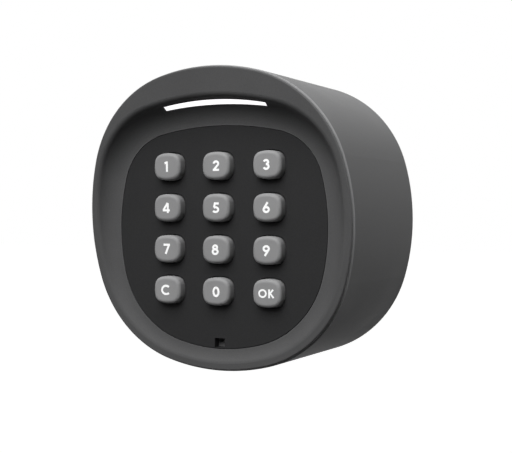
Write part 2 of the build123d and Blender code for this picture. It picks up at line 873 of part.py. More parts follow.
with BuildPart() as panel_adhesive:
    outline_ring(frame_outline, frame_inside, frame_front, face_back)
    block(release_slot_size, release_slot_place, frame_front, face_back, mode=Mode.SUBTRACT)
finish("panel_adhesive", panel_adhesive)

# ---- battery tray: a cover for the frame with a cradle for two cells on its back ----
with BuildPart() as battery_tray:
    outline_block(frame_outline, tray_back, frame_back)
    rods(board_screw_places, board_post_radius, frame_back, board_back)
    block((2 * cradle_half_width, cradle_height), (0, face_middle_z), cradle_back, tray_back)
    with BuildSketch(Plane.XY.offset(cell_bay_bottom)):
        with Locations((-cell_pitch / 2, -cell_height), (cell_pitch / 2, -cell_height)):
            Circle(cell_radius + cell_gap)
    extrude(amount=cell_bay_length, mode=Mode.SUBTRACT)
    block(
        (2 * cradle_half_width, finger_cut_width),
        (0, face_middle_z),
        cradle_back,
        cradle_back + finger_cut_depth,
        mode=Mode.SUBTRACT,
    )
    rods(
        board_screw_places,
        board_screw_radius + thread_clearance,
        board_front - board_screw_grip - screw_end_gap,
        board_back,
        mode=Mode.SUBTRACT,
    )
    rods(tray_screw_places, tray_screw_radius + screw_clearance, tray_back, frame_back, mode=Mode.SUBTRACT)
    rods(
        tray_screw_places,
        tray_head_radius + head_clearance,
        tray_back,
        tray_back + tray_head_height,
        mode=Mode.SUBTRACT,
    )
finish("battery_tray", battery_tray)

with BuildPart() as tray_screws:
    rods(tray_screw_places, tray_head_radius, tray_back, tray_back + tray_head_height)
    rods(
        tray_screw_places,
        tray_screw_radius,
        tray_back + tray_head_height,
        tray_screw_front - screw_end_gap,
    )
finish("tray_screws", tray_screws)

# ---- cells: the left one stands nub up, the right one nub down ----
for name, side in (("left", -1), ("right", 1)):
    up = -side
    nub_end = face_middle_z + up * (cell_bay_length / 2 - contact_thickness)
    with BuildPart() as cell:
        with BuildSketch(Plane(origin=(side * cell_pitch / 2, -cell_height, nub_end), z_dir=(0, 0, -up))):
            Circle(cell_nub_radius)
        extrude(amount=cell_nub_length)
        shoulder = nub_end - up * cell_nub_length
        with BuildSketch(Plane(origin=(side * cell_pitch / 2, -cell_height, shoulder), z_dir=(0, 0, -up))):
            Circle(cell_radius)
        extrude(amount=cell_length)
        rims = cell.edges().filter_by(GeomType.CIRCLE)
        fillet(rims.filter_by(lambda e: abs(e.radius - cell_radius) < same_size), radius=cell_edge_radius)
    finish(f"battery_{name}", cell)

with BuildPart() as battery_contacts:
    for side in (-1, 1):
        for start in (cell_bay_bottom, cell_bay_top - contact_thickness):
            with BuildSketch(Plane(origin=(side * cell_pitch / 2, -cell_height, start))):
                Circle(contact_radius)
            extrude(amount=contact_thickness)
finish("battery_contacts", battery_contacts)

with BuildPart() as battery_springs:
    for side in (-1, 1):
        low = cell_bay_bottom + contact_thickness
        if side > 0:
            low = cell_bay_top - contact_thickness - spring_length
        coil_height = spring_length - 2 * spring_wire_radius - 2 * spring_end_gap
        coil_start = (side * cell_pitch / 2, -cell_height, low + spring_wire_radius + spring_end_gap)
        with BuildLine() as coil:
            Helix(coil_height / spring_turns, coil_height, spring_radius, center=coil_start)
        with BuildSketch(Plane(origin=coil.line @ 0, z_dir=coil.line % 0)):
            Circle(spring_wire_radius)
        sweep(path=coil.line, is_frenet=True)
finish("battery_springs", battery_springs)
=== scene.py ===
"""Looks of a wall-mounted card reader with a twelve-key pad under a hood.

Every size is in metres in the part's own frame: +Z up, +X to the user's right, the front faces -Y
and the flat back lies on the wall at y = 0. The solid model gives the places, and this script adds
the finishes, the printed legends, the detailed screws, the lining of the release slot and the set.
"""
import json
import logging
import math
from contextlib import contextmanager
from dataclasses import dataclass, field
from enum import Enum
from typing import Callable, Iterable, Iterator, Optional, Union

import bpy
from mathutils import Matrix, Vector

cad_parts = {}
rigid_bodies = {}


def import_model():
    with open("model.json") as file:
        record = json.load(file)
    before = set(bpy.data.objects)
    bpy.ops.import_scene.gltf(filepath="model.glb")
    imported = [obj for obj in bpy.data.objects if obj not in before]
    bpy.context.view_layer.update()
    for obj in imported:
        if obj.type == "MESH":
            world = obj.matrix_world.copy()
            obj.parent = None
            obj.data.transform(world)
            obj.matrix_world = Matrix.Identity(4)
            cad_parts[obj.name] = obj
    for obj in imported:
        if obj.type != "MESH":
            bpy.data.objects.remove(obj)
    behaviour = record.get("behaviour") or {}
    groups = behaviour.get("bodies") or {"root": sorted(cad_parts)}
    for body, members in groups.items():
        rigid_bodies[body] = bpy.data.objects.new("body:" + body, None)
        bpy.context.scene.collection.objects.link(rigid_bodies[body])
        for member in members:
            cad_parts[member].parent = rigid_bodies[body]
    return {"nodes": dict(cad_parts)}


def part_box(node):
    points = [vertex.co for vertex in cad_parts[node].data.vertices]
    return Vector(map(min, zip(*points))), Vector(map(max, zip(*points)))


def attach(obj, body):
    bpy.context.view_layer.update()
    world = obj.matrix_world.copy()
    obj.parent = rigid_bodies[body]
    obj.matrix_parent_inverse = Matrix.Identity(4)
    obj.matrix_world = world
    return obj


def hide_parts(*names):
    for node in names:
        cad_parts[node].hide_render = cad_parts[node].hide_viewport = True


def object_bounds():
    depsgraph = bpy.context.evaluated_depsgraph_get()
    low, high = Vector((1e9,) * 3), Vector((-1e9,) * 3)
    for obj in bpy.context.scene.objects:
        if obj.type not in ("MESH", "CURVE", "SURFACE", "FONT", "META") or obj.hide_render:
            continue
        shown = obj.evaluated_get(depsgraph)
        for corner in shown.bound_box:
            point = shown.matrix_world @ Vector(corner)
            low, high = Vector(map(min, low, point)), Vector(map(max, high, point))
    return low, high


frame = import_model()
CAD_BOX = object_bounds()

log = logging.getLogger("card_reader")
MM = 0.001

Tone = tuple[float, float, float]
Socket = bpy.types.NodeSocket
Groups = dict[str, bpy.types.NodeTree]
Piece = bpy.types.Object

MAP_RANGE = "ShaderNodeMapRange"
NOISE = "ShaderNodeTexNoise"
VECTOR_MATH = "ShaderNodeVectorMath"
TOUCHING = 0.0001 * MM  # places closer than this count as one


# -------------------------------------------------------------------------------------------
# Node helpers and shared effects
# -------------------------------------------------------------------------------------------


@dataclass
class Graph:
    """A small helper that places nodes in a tree and links them."""

    tree: bpy.types.NodeTree

    def node(self, kind: str, inputs: Optional[dict] = None, **settings: object) -> bpy.types.Node:
        """Place a node.

        Args:
            kind: The node's type name.
            inputs: Values or sockets for its inputs, by name or number.
            **settings: Properties of the node itself, which are set first.

        Returns:
            The new node.
        """
        made = self.tree.nodes.new(kind)
        for name, value in settings.items():
            setattr(made, name, value)
        for name, value in (inputs or {}).items():
            if isinstance(value, Socket):
                self.feed(value, made.inputs[name])
            else:
                made.inputs[name].default_value = value
        return made

    def feed(self, source: Socket, target: Socket) -> None:
        """Link an output to an input."""
        self.tree.links.new(source, target)

    def effect(self, tree: bpy.types.NodeTree, **values: float) -> bpy.types.NodeOutputs:
        """Place a shared effect with its own values and return its outputs."""
        return self.node("ShaderNodeGroup", values, node_tree=tree).outputs

    def maths(self, operation: str, *values: Union[Socket, float]) -> Socket:
        """Place a Math node on some values or sockets and return its output."""
        return self.node("ShaderNodeMath", dict(enumerate(values)), operation=operation).outputs[0]

    def ramp(self, value: Socket, low: float, high: float) -> Socket:
        """Map a value from low..high to 0..1, smoothly, and return the output."""
        ends = {"Value": value, "From Min": low, "From Max": high}
        return self.node(MAP_RANGE, ends, interpolation_type="SMOOTHSTEP").outputs["Result"]

    def between(self, share: Socket, low: float, high: float) -> Socket:
        """Map a share of 0..1 to low..high and return the output."""
        ends = {"Value": share, "To Min": low, "To Max": high}
        return self.node(MAP_RANGE, ends).outputs["Result"]

    def mix(self, share: Socket, first: Union[Socket, Tone], second: Union[Socket, Tone]) -> Socket:
        """Blend two colours.

        Args:
            share: The share of the second colour.
            first: A colour, or the socket that gives it.
            second: The other colour.

        Returns:
            The output with the blend.
        """
        inputs = {"Factor": share}
        for number, colour in ((6, first), (7, second)):
            inputs[number] = colour if isinstance(colour, Socket) else (*colour, 1.0)
        return self.node("ShaderNodeMix", inputs, data_type="RGBA").outputs[2]

    def bump(self, height: Socket, depth: float) -> Socket:
        """Turn a height of 0..1 into a normal, for a relief of some depth, and return it."""
        inputs = {"Height": height, "Distance": depth, "Strength": 1.0}
        return self.node("ShaderNodeBump", inputs).outputs["Normal"]

    def place(self) -> Socket:
        """The place on the object."""
        return self.node("ShaderNodeTexCoord").outputs["Object"]

    def axes(self) -> bpy.types.NodeOutputs:
        """The X, Y and Z of the place on the object."""
        return self.node("ShaderNodeSeparateXYZ", {"Vector": self.place()}).outputs

    def in_view(self) -> Socket:
        """Tell the rays that show a thing from those that carry its light.

        Returns:
            An output of 1 straight from the camera, in a gloss or through a clear piece, else 0.
        """
        rays = self.node("ShaderNodeLightPath").outputs
        seen = self.maths("MAXIMUM", rays["Is Camera Ray"], rays["Is Glossy Ray"])
        return self.maths("MAXIMUM", seen, rays["Is Transmission Ray"])


def new_group(
    name: str, inputs: dict[str, float], outputs: Iterable[str]
) -> tuple[Graph, dict[str, Socket], dict[str, Socket]]:
    """Start a shader node group with named float sockets.

    Args:
        name: The group's name.
        inputs: Each input's name and its default value.
        outputs: The names of the value outputs.

    Returns:
        The graph, the group's input sockets by name, and its output sockets by name.
    """
    tree = bpy.data.node_groups.new(name, "ShaderNodeTree")
    kind = "NodeSocketFloat"
    for label, default in inputs.items():
        socket = tree.interface.new_socket(name=label, in_out="INPUT", socket_type=kind)
        socket.default_value = default
    for label in outputs:
        tree.interface.new_socket(name=label, in_out="OUTPUT", socket_type=kind)
    start = tree.nodes.new("NodeGroupInput")
    end = tree.nodes.new("NodeGroupOutput")
    return (
        Graph(tree),
        {label: start.outputs[label] for label in inputs},
        {label: end.inputs[label] for label in outputs},
    )


def build_grain_group() -> bpy.types.NodeTree:
    """Build the fine grain of a moulded surface.

    Returns:
        A group with inputs Size in metres and Coarse share, and outputs Height and Fleck.
    """
    inputs = {"Size": 0.2 * MM, "Coarse": 0.35}
    graph, given, out = new_group("moulded_grain", inputs, ("Height", "Fleck"))
    place = graph.place()
    scale = graph.maths("DIVIDE", 1.0, given["Size"])
    coarse_scale = graph.maths("MULTIPLY", scale, 0.33)
    fine = graph.node(NOISE, {"Vector": place, "Scale": scale, "Detail": 2.0}).outputs["Fac"]
    coarse = graph.node(NOISE, {"Vector": place, "Scale": coarse_scale, "Detail": 1.0})
    part = graph.maths("MULTIPLY", coarse.outputs["Fac"], given["Coarse"])
    graph.feed(graph.maths("ADD", fine, part), out["Height"])
    graph.feed(graph.ramp(fine, low=0.35, high=0.65), out["Fleck"])
    return graph.tree


def build_cloud_group() -> bpy.types.NodeTree:
    """Build the slow change of tone and gloss that handling and moulding leave.

    Returns:
        A group with the input Size in metres and the output Cloud, from 0 to 1.
    """
    graph, given, out = new_group("handled_cloud", {"Size": 20 * MM}, ("Cloud",))
    scale = graph.maths("DIVIDE", 1.0, given["Size"])
    inputs = {"Vector": graph.place(), "Scale": scale, "Detail": 3.0, "Roughness": 0.55}
    noise = graph.node(NOISE, inputs).outputs["Fac"]
    graph.feed(graph.ramp(noise, low=0.3, high=0.7), out["Cloud"])
    return graph.tree


def build_edge_highlight_group() -> bpy.types.NodeTree:
    """Build the mask of a moulding's rounded edges, where a painted highlight lightens the tone.

    Returns:
        A group with the input Reach in metres and the output Edge, 1 on an edge and 0 off it.
    """
    graph, given, out = new_group("painted_edge_highlight", {"Reach": 0.4 * MM}, ("Edge",))
    rounded = graph.node("ShaderNodeBevel", {"Radius": given["Reach"]}, samples=8).outputs["Normal"]
    true = graph.node("ShaderNodeNewGeometry").outputs["Normal"]
    likeness = graph.node(VECTOR_MATH, {0: rounded, 1: true}, operation="DOT_PRODUCT")
    turned = graph.maths("SUBTRACT", 1.0, likeness.outputs["Value"])
    graph.feed(graph.ramp(turned, low=0.003, high=0.06), out["Edge"])
    return graph.tree


def build_front_highlight_group() -> bpy.types.NodeTree:
    """Build the mask of the painted highlight on the housing's rounded front edge, a shallow curve
    as seen from the side.

    Returns:
        A group with inputs for the edge's place at the top, middle and bottom, half the height
        between them and the edge's width, all in metres, and the output Edge.
    """
    inputs = {"Top": 0.0, "Middle": 0.0, "Bottom": 0.0, "Half": 41 * MM, "Width": 0.6 * MM}
    graph, given, out = new_group("front_edge_highlight", inputs, ("Edge",))
    axes = graph.axes()
    share = graph.maths("DIVIDE", axes["Z"], given["Half"])
    slope = graph.maths("MULTIPLY", graph.maths("SUBTRACT", given["Top"], given["Bottom"]), 0.5)
    mean = graph.maths("MULTIPLY", graph.maths("ADD", given["Top"], given["Bottom"]), 0.5)
    bow = graph.maths("SUBTRACT", mean, given["Middle"])
    bowed = graph.maths("MULTIPLY", graph.maths("MULTIPLY", share, share), bow)
    raised = graph.maths("ADD", graph.maths("MULTIPLY", share, slope), bowed)
    edge = graph.maths("ADD", given["Middle"], raised)
    behind = graph.maths("DIVIDE", graph.maths("SUBTRACT", axes["Y"], edge), given["Width"])
    past = graph.ramp(behind, low=0.7, high=1.3)
    graph.feed(graph.maths("SUBTRACT", 1.0, past), out["Edge"])
    return graph.tree


# -------------------------------------------------------------------------------------------
# Finishes
# -------------------------------------------------------------------------------------------


def new_material(name: str) -> tuple[bpy.types.Material, Graph, bpy.types.NodeInputs]:
    """Start a material.

    Args:
        name: Its name.

    Returns:
        The material, the graph of its nodes and the inputs of its Principled shader.
    """
    made = bpy.data.materials.new(name)
    made.use_nodes = True
    return made, Graph(made.node_tree), made.node_tree.nodes["Principled BSDF"].inputs


@dataclass(frozen=True)
class FrontEdgeHighlight:
    """A painted highlight on the housing's rounded front edge, seen from the side as a shallow
    curve.
    """

    top: float = -50.9 * MM
    middle: float = -46.6 * MM
    bottom: float = -44.2 * MM
    half: float = 41.0 * MM
    width: float = 0.5 * MM
    # How much lighter the painted highlight makes the edge's tone.
    lift: float = 1.4

    def places(self) -> dict[str, float]:
        """The values for the shared effect, by the names of its inputs."""
        names = ("Top", "Middle", "Bottom", "Half", "Width")
        return {name: getattr(self, name.lower()) for name in names}


@dataclass(frozen=True)
class Moulded:
    """A moulded plastic, rubber or metal: one tone, with a fine grain and a slow cloud over it."""

    name: str
    tone: Tone
    roughness: float = 0.5
    specular: float = 0.3
    grain_size: float = 0.22 * MM
    grain_depth: float = 0.012 * MM
    fleck: float = 0.06
    cloud: float = 0.05
    cloud_size: float = 20 * MM
    gloss_change: float = 0.04
    metallic: float = 0.0
    # How much lighter the edges are painted, a painted highlight, and how far that band reaches.
    edge: float = 0.0
    edge_reach: float = 0.4 * MM
    # Where set, a band along the housing's front edge is painted lighter: a painted highlight.
    front_edge_highlight: Optional[FrontEdgeHighlight] = None

    def toned(self, change: float) -> Tone:
        """The tone made lighter by a share, or darker by a negative one."""
        return tuple(min(1.0, part * (1 + change)) for part in self.tone)

    def build(self, groups: Groups) -> bpy.types.Material:
        """Build the material.

        Args:
            groups: The shared node groups by name.

        Returns:
            The material.
        """
        made, graph, shader = new_material(self.name)
        grain = graph.effect(groups["moulded_grain"], Size=self.grain_size)
        cloud = graph.effect(groups["handled_cloud"], Size=self.cloud_size)["Cloud"]
        change = self.fleck + self.cloud
        share = self.fleck / change
        flecks = graph.maths("MULTIPLY", grain["Fleck"], share)
        blend = graph.maths("ADD", flecks, graph.maths("MULTIPLY", cloud, 1 - share))
        colour = graph.mix(blend, self.toned(-change), self.toned(change))
        # Painted highlight: all rounded edges are toned lighter, standing in for light caught by
        # the edges.
        if self.edge:
            edge = graph.effect(groups["painted_edge_highlight"], Reach=self.edge_reach)["Edge"]
            colour = graph.mix(edge, colour, self.toned(self.edge))
        # Painted highlight: the front edge band is toned lighter, standing in for light caught by
        # the rounded edge.
        if self.front_edge_highlight:
            edge = graph.effect(groups["front_edge_highlight"], **self.front_edge_highlight.places())["Edge"]
            colour = graph.mix(edge, colour, self.toned(self.front_edge_highlight.lift))
        shiny, matt = self.roughness - self.gloss_change, self.roughness + self.gloss_change
        graph.feed(colour, shader["Base Color"])
        graph.feed(graph.between(cloud, shiny, matt), shader["Roughness"])
        graph.feed(graph.bump(grain["Height"], self.grain_depth), shader["Normal"])
        shader["Specular IOR Level"].default_value = self.specular
        shader["Metallic"].default_value = self.metallic
        return made


@dataclass(frozen=True)
class Glow:
    """A milky diffuser lit from behind, which lights what is near it less than it shines."""

    name: str
    tone: Tone
    spill: Tone
    strength: float
    roughness: float = 0.35
    cloud: float = 0.06
    cloud_size: float = 6 * MM

    def build(self, groups: Groups) -> bpy.types.Material:
        """Build the material.

        Args:
            groups: The shared node groups by name.

        Returns:
            The material.
        """
        made, graph, shader = new_material(self.name)
        cloud = graph.effect(groups["handled_cloud"], Size=self.cloud_size)["Cloud"]
        softer = tuple(part * (1 - self.cloud) for part in self.tone)
        lighting = graph.node("ShaderNodeLightPath").outputs["Is Diffuse Ray"]
        graph.feed(graph.mix(cloud, softer, self.tone), shader["Base Color"])
        graph.feed(graph.mix(lighting, self.tone, self.spill), shader["Emission Color"])
        shader["Emission Strength"].default_value = self.strength
        shader["Roughness"].default_value = self.roughness
        return made


@dataclass(frozen=True)
class CellWrap:
    """A battery: a printed sleeve with a band and a line round it, and bare metal at both ends."""

    name: str
    plus_up: bool
    low: float
    high: float
    sleeve: Tone = (0.02, 0.025, 0.03)
    band: Tone = (0.45, 0.25, 0.06)
    metal: Tone = (0.62, 0.61, 0.6)
    band_share: float = 0.26
    line_share: float = 0.31
    line_half: float = 0.012
    cap: float = 0.6 * MM
    cloud_size: float = 8 * MM
    gloss: tuple[float, float] = (0.25, 0.36)

    @classmethod
    def fitted(cls, node: str, plus_up: bool) -> "CellWrap":
        """The wrap of a battery, set to the battery's own ends."""
        low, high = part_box(node)
        return cls(f"{node}_wrap", plus_up, low.z, high.z)

    def build(self, groups: Groups) -> bpy.types.Material:
        """Build the material.

        Args:
            groups: The shared node groups by name.

        Returns:
            The material.
        """
        made, graph, shader = new_material(self.name)
        length = self.high - self.low
        up = graph.maths("DIVIDE", graph.maths("SUBTRACT", graph.axes()["Z"], self.low), length)
        from_plus = graph.maths("SUBTRACT", 1.0, up) if self.plus_up else up
        band = graph.maths("LESS_THAN", from_plus, self.band_share)
        off_line = graph.maths("ABSOLUTE", graph.maths("SUBTRACT", from_plus, self.line_share))
        line = graph.maths("LESS_THAN", off_line, self.line_half)
        at_foot = graph.maths("LESS_THAN", up, self.cap / length)
        at_head = graph.maths("GREATER_THAN", up, 1.0 - self.cap / length)
        bare = graph.maths("MAXIMUM", at_foot, at_head)
        cloud = graph.effect(groups["handled_cloud"], Size=self.cloud_size)["Cloud"]
        printed = graph.mix(graph.maths("MAXIMUM", band, line), self.sleeve, self.band)
        graph.feed(graph.mix(bare, printed, self.metal), shader["Base Color"])
        graph.feed(bare, shader["Metallic"])
        graph.feed(graph.between(cloud, *self.gloss), shader["Roughness"])
        return made


@dataclass(frozen=True)
class BoardMask:
    """A circuit board: solder mask over fine tracks, whose course changes from patch to patch."""

    name: str
    mask: Tone = (0.012, 0.075, 0.032)
    track: Tone = (0.03, 0.15, 0.06)
    track_pitch: float = 0.9 * MM
    track_height: float = 0.03 * MM
    patch_tracks: int = 9
    gloss: tuple[float, float] = (0.28, 0.42)

    def build(self, groups: Groups) -> bpy.types.Material:
        """Build the material.

        Args:
            groups: The shared node groups by name.

        Returns:
            The material.
        """
        made, graph, shader = new_material(self.name)
        axes = graph.axes()
        scale = 1 / (self.patch_tracks * self.track_pitch)
        patches = {"Vector": graph.place(), "Scale": scale}
        patch = graph.node("ShaderNodeTexVoronoi", patches, distance="CHEBYCHEV").outputs["Color"]
        choice = graph.node("ShaderNodeSeparateColor", {"Color": patch}).outputs[0]
        courses = {"Factor": graph.maths("GREATER_THAN", choice, 0.5), 2: axes["X"], 3: axes["Z"]}
        course = graph.node("ShaderNodeMix", courses, data_type="FLOAT").outputs[0]
        phase = graph.maths("FRACT", graph.maths("DIVIDE", course, self.track_pitch))
        from_middle = graph.maths("ABSOLUTE", graph.maths("SUBTRACT", phase, 0.5))
        track = graph.ramp(from_middle, low=0.34, high=0.40)
        cloud = graph.effect(groups["handled_cloud"])["Cloud"]
        graph.feed(graph.mix(track, self.mask, self.track), shader["Base Color"])
        graph.feed(graph.bump(track, self.track_height), shader["Normal"])
        graph.feed(graph.between(cloud, *self.gloss), shader["Roughness"])
        return made


DRUM_TONE = (0.076, 0.076, 0.077)


class Finish(Enum):
    """Every finish on the reader."""

    # The housing carries a painted highlight along its front edge, and the bezel on all its rounded
    # edges.
    HOUSING = Moulded("housing_plastic", DRUM_TONE, 0.6, specular=0.06, front_edge_highlight=FrontEdgeHighlight())
    BEZEL = Moulded("bezel_plastic", DRUM_TONE, 0.6, specular=0.06, edge=0.3)
    FACE = Moulded(
        "face_plastic", (0.0218, 0.0218, 0.0224), 0.65, specular=0.08, grain_size=0.3 * MM
    )
    KEY = Moulded("key_plastic", (0.235, 0.235, 0.237), 0.55, specular=0.15, grain_size=0.15 * MM)
    LEGEND = Moulded("legend_ink", (0.95, 0.95, 0.95), 0.6, specular=0.2, fleck=0.0, cloud=0.02)
    # The slot's floor tone is lighter than the panel's, painted light standing in for light
    # reaching the floor.
    LINER = Moulded("slot_floor_painted_light", (0.1, 0.1, 0.101), 0.6, specular=0.08)
    GASKET = Moulded("gasket_rubber", (0.02, 0.02, 0.02), 0.75, specular=0.2)
    SILICONE = Moulded("keymat_silicone", (0.25, 0.25, 0.26), 0.6)
    STEEL = Moulded("screw_steel", (0.55, 0.55, 0.56), 0.32, metallic=1.0, fleck=0.03)
    BOARD = BoardMask("board_mask")
    CONTACT = Moulded("contact_metal", (0.75, 0.72, 0.64), 0.28, metallic=1.0)
    COPPER = Moulded("coil_copper", (0.72, 0.36, 0.2), 0.35, metallic=1.0)
    SHIELD = Moulded("shield_metal", (0.7, 0.7, 0.71), 0.4, metallic=1.0)
    CHIP = Moulded("chip_epoxy", (0.02, 0.02, 0.022))
    MODULE = Moulded("module_plastic", (0.035, 0.035, 0.037))
    ADHESIVE = Moulded("tape_foam", (0.35, 0.35, 0.35), 0.8)
    CELL_LEFT = CellWrap.fitted("battery_left", plus_up=True)
    CELL_RIGHT = CellWrap.fitted("battery_right", plus_up=False)
    LAMP = Moulded("lamp_case", (0.85, 0.82, 0.6), 0.35)
    LIGHT = Glow("light_diffuser", (0.98, 0.96, 0.98), spill=(0.06, 0.055, 0.06), strength=1.2)


@dataclass
class Paintshop:
    """Builds each finish once, dresses pieces in it and fixes them to their bodies."""

    groups: Groups = field(default_factory=dict)
    made: dict[Finish, bpy.types.Material] = field(default_factory=dict)

    def open(self) -> None:
        """Build the shared node groups."""
        builders = (build_grain_group, build_cloud_group, build_edge_highlight_group, build_front_highlight_group)
        self.groups = {tree.name: tree for tree in (build() for build in builders)}

    def material(self, finish: Finish) -> bpy.types.Material:
        """Give the material of a finish, and build it the first time.

        Args:
            finish: The finish.

        Returns:
            Its material.
        """
        if finish not in self.made:
            self.made[finish] = finish.value.build(self.groups)
        return self.made[finish]

    def coat(self, piece: Piece, finish: Finish) -> None:
        """Put a finish on all of a piece."""
        piece.data.materials.clear()
        piece.data.materials.append(self.material(finish))

    def coat_faces(
        self, piece: Piece, finish: Finish, chosen: Callable[[bpy.types.MeshPolygon], bool]
    ) -> None:
        """Put a second finish on some of a piece's faces.

        Args:
            piece: The object, already dressed.
            finish: The second finish.
            chosen: Tells whether a face gets it.
        """
        piece.data.materials.append(self.material(finish))
        for face in piece.data.polygons:
            if chosen(face):
                face.material_index = len(piece.data.materials) - 1

    def mount(self, piece: Piece, name: str, body: str, finish: Finish) -> None:
        """Name a finished piece, dress it and fix it to a body.

        Args:
            piece: The piece.
            name: Its name.
            body: The body that it rides on.
            finish: Its finish.
        """
        piece.name = name
        self.coat(piece, finish)
        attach(piece, body)
        log.info("%s on %s", name, body)


# -------------------------------------------------------------------------------------------
# Modelling helpers
# -------------------------------------------------------------------------------------------


def clear_selection() -> None:
    """Leave nothing selected, so that an operator acts on a new piece alone."""
    bpy.ops.object.select_all(action="DESELECT")


def pick(piece: Piece) -> None:
    """Select a piece alone and make it the active one.

    Args:
        piece: The piece.
    """
    clear_selection()
    bpy.context.view_layer.objects.active = piece
    piece.select_set(True)


@contextmanager
def editing(piece: Piece, everything: bool = False) -> Iterator[None]:
    """Open a piece for editing, alone, and close it again.

    Args:
        piece: The piece.
        everything: Whether to start with all of it selected.

    Yields:
        Nothing, while the piece is open.
    """
    pick(piece)
    bpy.ops.object.mode_set(mode="EDIT")
    if everything:
        bpy.ops.mesh.select_all(action="SELECT")
    yield
    bpy.ops.object.mode_set(mode="OBJECT")


def select_where(piece: Piece, chosen: Callable[[Vector], bool]) -> None:
    """Select the vertices of an edited piece by their place, and leave the rest.

    Args:
        piece: The piece, open for editing.
        chosen: Tells whether a vertex at a place is wanted.
    """
    bpy.ops.mesh.select_mode(type="VERT")
    bpy.ops.mesh.select_all(action="DESELECT")
    bpy.ops.object.mode_set(mode="OBJECT")
    for vertex in piece.data.vertices:
        vertex.select = chosen(vertex.co)
    bpy.ops.object.mode_set(mode="EDIT")


def apply_modifier(piece: Piece, kind: str, **settings: object) -> None:
    """Add a modifier to a piece and apply it.

    Args:
        piece: The piece.
        kind: The modifier's type.
        **settings: The modifier's own properties.
    """
    pick(piece)
    made = piece.modifiers.new(kind.lower(), kind)
    for name, value in settings.items():
        setattr(made, name, value)
    bpy.ops.object.modifier_apply(modifier=made.name)


def settled() -> Piece:
    """Settle the new piece's place, turn and size into its mesh and return it."""
    bpy.ops.object.transform_apply(location=True, rotation=True, scale=True)
    return bpy.context.object


def block(low: Vector, high: Vector) -> Piece:
    """Make a block between two corners.

    Args:
        low: Its lowest corner.
        high: Its highest corner.

    Returns:
        The block.
    """
    clear_selection()
    bpy.ops.mesh.primitive_cube_add(size=1, location=(low + high) / 2, scale=high - low)
    return settled()


def rod(radius: float, start: float, end: float, sides: int) -> Piece:
    """Make a round rod on the Z axis.

    Args:
        radius: Its radius.
        start: The height of its upper end.
        end: The height of its lower end.
        sides: The number of its sides.

    Returns:
        The rod.
    """
    clear_selection()
    middle = (0, 0, (start + end) / 2)
    bpy.ops.mesh.primitive_cylinder_add(
        vertices=sides, radius=radius, depth=start - end, location=middle
    )
    return settled()


def join(pieces: list[Piece]) -> Piece:
    """Join some pieces into the first one.

    Args:
        pieces: The pieces.

    Returns:
        The joined piece.
    """
    clear_selection()
    for piece in pieces:
        piece.select_set(True)
    bpy.context.view_layer.objects.active = pieces[0]
    if len(pieces) > 1:
        bpy.ops.object.join()
    return pieces[0]


def discard(pieces: Iterable[Piece]) -> None:
    """Remove some pieces from the scene."""
    for piece in pieces:
        bpy.data.objects.remove(piece)


def new_piece(name: str, mesh: bpy.types.Mesh) -> Piece:
    """Make a piece of a copy of a mesh.

    Args:
        name: The piece's name.
        mesh: The mesh, which stays as it is.

    Returns:
        The piece.
    """
    piece = bpy.data.objects.new(name, mesh.copy())
    bpy.context.scene.collection.objects.link(piece)
    return piece


def box_of(piece: Piece) -> tuple[Vector, Vector]:
    """Find the box of a piece's mesh.

    Args:
        piece: The piece.

    Returns:
        Its lowest and highest corners.
    """
    axes = list(zip(*(vertex.co for vertex in piece.data.vertices)))
    return Vector([min(axis) for axis in axes]), Vector([max(axis) for axis in axes])


def solids_of(node: str) -> list[Piece]:
    """Split a copy of a node into its separate solids.

    Args:
        node: The node.

    Returns:
        The solids, as pieces to measure and then discard.
    """
    name = f"{node}_measured"
    with editing(new_piece(name, frame["nodes"][node].data), everything=True):
        bpy.ops.mesh.remove_doubles(threshold=0.001 * MM)
        bpy.ops.mesh.select_all(action="SELECT")
        bpy.ops.mesh.separate(type="LOOSE")
    return [piece for piece in bpy.data.objects if piece.name.startswith(name)]


# -------------------------------------------------------------------------------------------
# Keys
# -------------------------------------------------------------------------------------------


@dataclass(frozen=True)
class Bar:
    """A straight pen stroke, in shares of the legend's height."""

    start: tuple[float, float]
    end: tuple[float, float]

    def draw(self, pen: float) -> Piece:
        """Draw the stroke.

        Args:
            pen: The stroke's width.

        Returns:
            The stroke as a block one unit tall.
        """
        along = Vector(self.end) - Vector(self.start)
        middle = (Vector(self.end) + Vector(self.start)) / 2
        bpy.ops.mesh.primitive_cube_add(
            size=1,
            location=(*middle, 0),
            rotation=(0, 0, math.atan2(along.y, along.x)),
            scale=(along.length, pen, 1),
        )
        return settled()


@dataclass(frozen=True)
class Bow:
    """A curved pen stroke on an ellipse, in shares of the legend's height and in degrees."""

    centre: tuple[float, float]
    radii: tuple[float, float]
    start: float = 0.0
    end: float = 360.0
    step: float = 7.5

    def draw(self, pen: float) -> Piece:
        """Draw the stroke.

        Args:
            pen: The stroke's width.

        Returns:
            The stroke as a block one unit tall.
        """
        sweep = self.end - self.start
        count = max(3, round(sweep / self.step))
        whole = sweep >= 360
        bpy.ops.mesh.primitive_circle_add(vertices=count if whole else count + 1, radius=1)
        ring = bpy.context.object
        for number, vertex in enumerate(ring.data.vertices):
            turn = math.radians(self.start + sweep * number / count)
            across, up = math.cos(turn) * self.radii[0], math.sin(turn) * self.radii[1]
            vertex.co = (self.centre[0] + across, self.centre[1] + up, -0.5)
        with editing(ring):
            if not whole:
                bpy.ops.mesh.select_all(action="DESELECT")
                bpy.ops.object.mode_set(mode="OBJECT")
                for edge in ring.data.edges:
                    edge.select = set(edge.vertices) == {0, count}
                bpy.ops.object.mode_set(mode="EDIT")
                bpy.ops.mesh.delete(type="EDGE")
            bpy.ops.mesh.select_all(action="SELECT")
            bpy.ops.mesh.extrude_region_move(TRANSFORM_OT_translate={"value": (0, 0, 1)})
            bpy.ops.mesh.select_all(action="SELECT")
            bpy.ops.mesh.normals_make_consistent(inside=False)
        apply_modifier(ring, "SOLIDIFY", thickness=pen, offset=0, use_even_offset=True)
        return ring


RING = Bow((0.37, 0.32), (0.27, 0.22))

